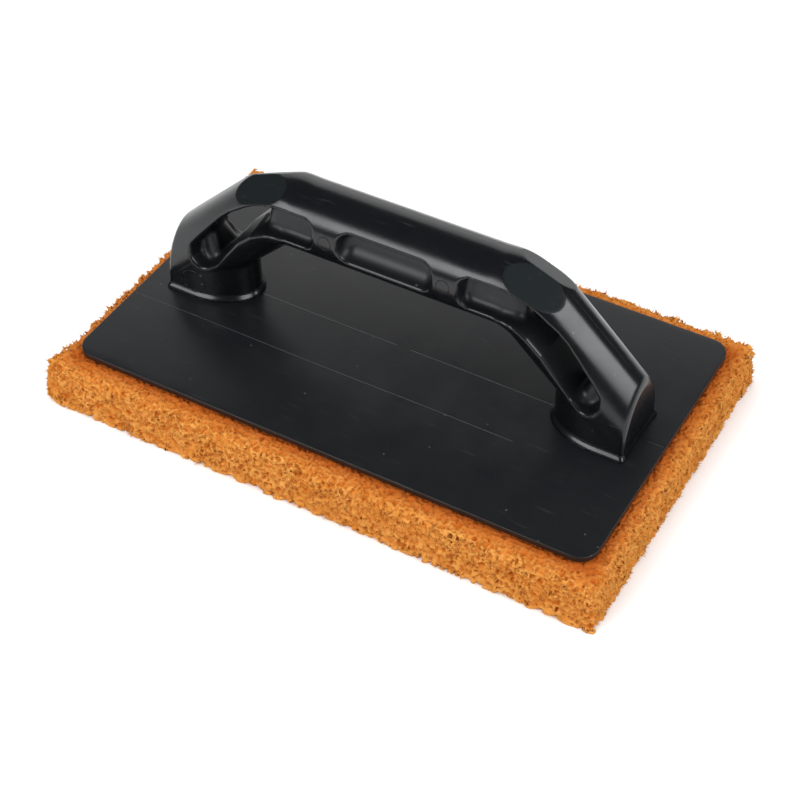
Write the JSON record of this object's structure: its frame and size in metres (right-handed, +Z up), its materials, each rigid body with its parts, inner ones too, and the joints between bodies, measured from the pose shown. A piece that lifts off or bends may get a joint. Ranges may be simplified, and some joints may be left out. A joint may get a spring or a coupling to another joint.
{
  "type": "grout float",
  "caption": "Tiler's grout float: an orange foam sponge pad glued under a flat plastic plate, with a raised black bridge handle on top.",
  "frame": {"origin": "on the surface the float rests on, under the middle of the sponge pad", "axes": "+X along the float's length and its grip, +Y across it, +Z up from the pad to the grip"},
  "size_m": [0.28, 0.174, 0.1046],
  "materials": {
    "foam": "open-cell orange hydrophilic sponge, matt, coarse pores",
    "adhesive": "thin contact adhesive film, amber brown",
    "plate_plastic": "satin charcoal injection-moulded polypropylene",
    "handle_plastic": "semi-gloss black injection-moulded polypropylene",
    "screw_steel": "zinc plated steel"
  },
  "bodies": {
    "root": {"sponge_pad": "foam", "adhesive_film": "adhesive", "base_plate": "plate_plastic", "handle": "handle_plastic", "handle_screw_left_1": "screw_steel", "handle_screw_left_2": "screw_steel", "handle_screw_right_1": "screw_steel", "handle_screw_right_2": "screw_steel"}
  },
  "joints": []
}
